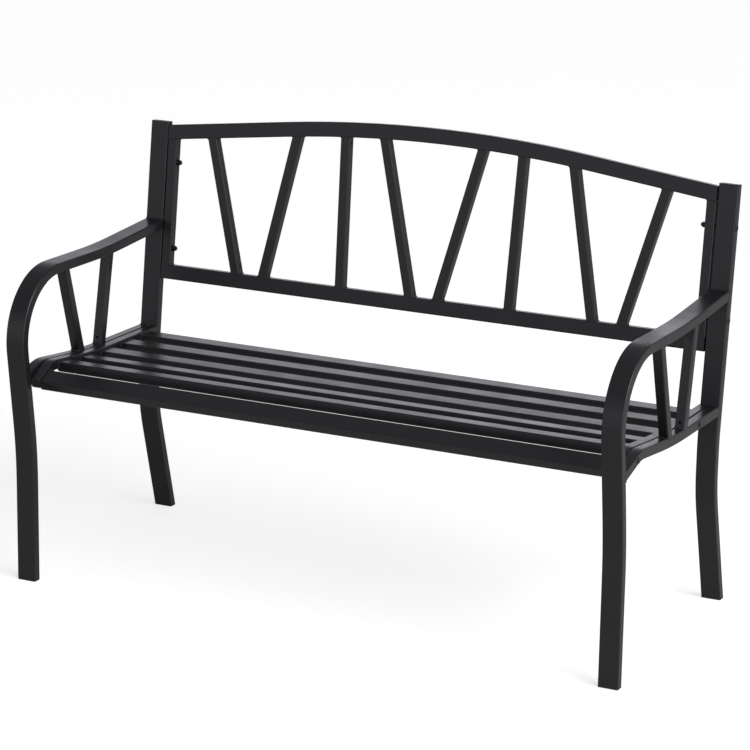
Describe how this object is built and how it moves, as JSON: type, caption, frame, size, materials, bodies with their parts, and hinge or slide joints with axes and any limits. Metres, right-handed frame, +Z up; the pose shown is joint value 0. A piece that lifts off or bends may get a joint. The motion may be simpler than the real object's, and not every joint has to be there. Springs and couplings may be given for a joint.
{
  "type": "patio loveseat",
  "caption": "Garden bench of bent and welded black steel tube, with a slatted seat, looped arms and an arched back of slanting struts.",
  "frame": {"origin": "on the floor, at the middle of the bench's width and depth", "axes": "+X towards the right-hand side frame seen from the front, +Y from the front of the seat to the back, +Z up"},
  "size_m": [1.2836, 0.5958, 0.8804],
  "materials": {
    "powder_coat": "satin",
    "plug_plastic": "matte",
    "fastener_steel": "satin"
  },
  "bodies": {
    "root": {"arm_strut_front_left": "powder_coat", "arm_strut_front_right": "powder_coat", "arm_strut_rear_left": "powder_coat", "arm_strut_rear_right": "powder_coat", "back_bolts": "fastener_steel", "back_bottom_rail": "powder_coat", "back_stile_left": "powder_coat", "back_stile_right": "powder_coat", "back_strut_1": "powder_coat", "back_strut_2": "powder_coat", "back_strut_3": "powder_coat", "back_strut_4": "powder_coat", "back_strut_5": "powder_coat", "back_strut_6": "powder_coat", "back_strut_7": "powder_coat", "back_strut_8": "powder_coat", "back_top_rail": "powder_coat", "end_rail_plug_left": "plug_plastic", "end_rail_plug_right": "plug_plastic", "foot_plug_front_left": "plug_plastic", "foot_plug_front_right": "plug_plastic", "foot_plug_rear_left": "plug_plastic", "foot_plug_rear_right": "plug_plastic", "front_leg_arm_left": "powder_coat", "front_leg_arm_right": "powder_coat", "lock_nuts": "fastener_steel", "post_cap_left": "plug_plastic", "post_cap_right": "plug_plastic", "rear_post_left": "powder_coat", "rear_post_right": "powder_coat", "seat_bolts": "fastener_steel", "seat_end_rail_left": "powder_coat", "seat_end_rail_right": "powder_coat", "seat_front_rail": "powder_coat", "seat_slat_1": "powder_coat", "seat_slat_2": "powder_coat", "seat_slat_3": "powder_coat", "seat_slat_4": "powder_coat", "seat_slat_5": "powder_coat", "side_rail_left": "powder_coat", "side_rail_right": "powder_coat", "threaded_inserts": "fastener_steel", "washers": "fastener_steel"}
  },
  "joints": []
}
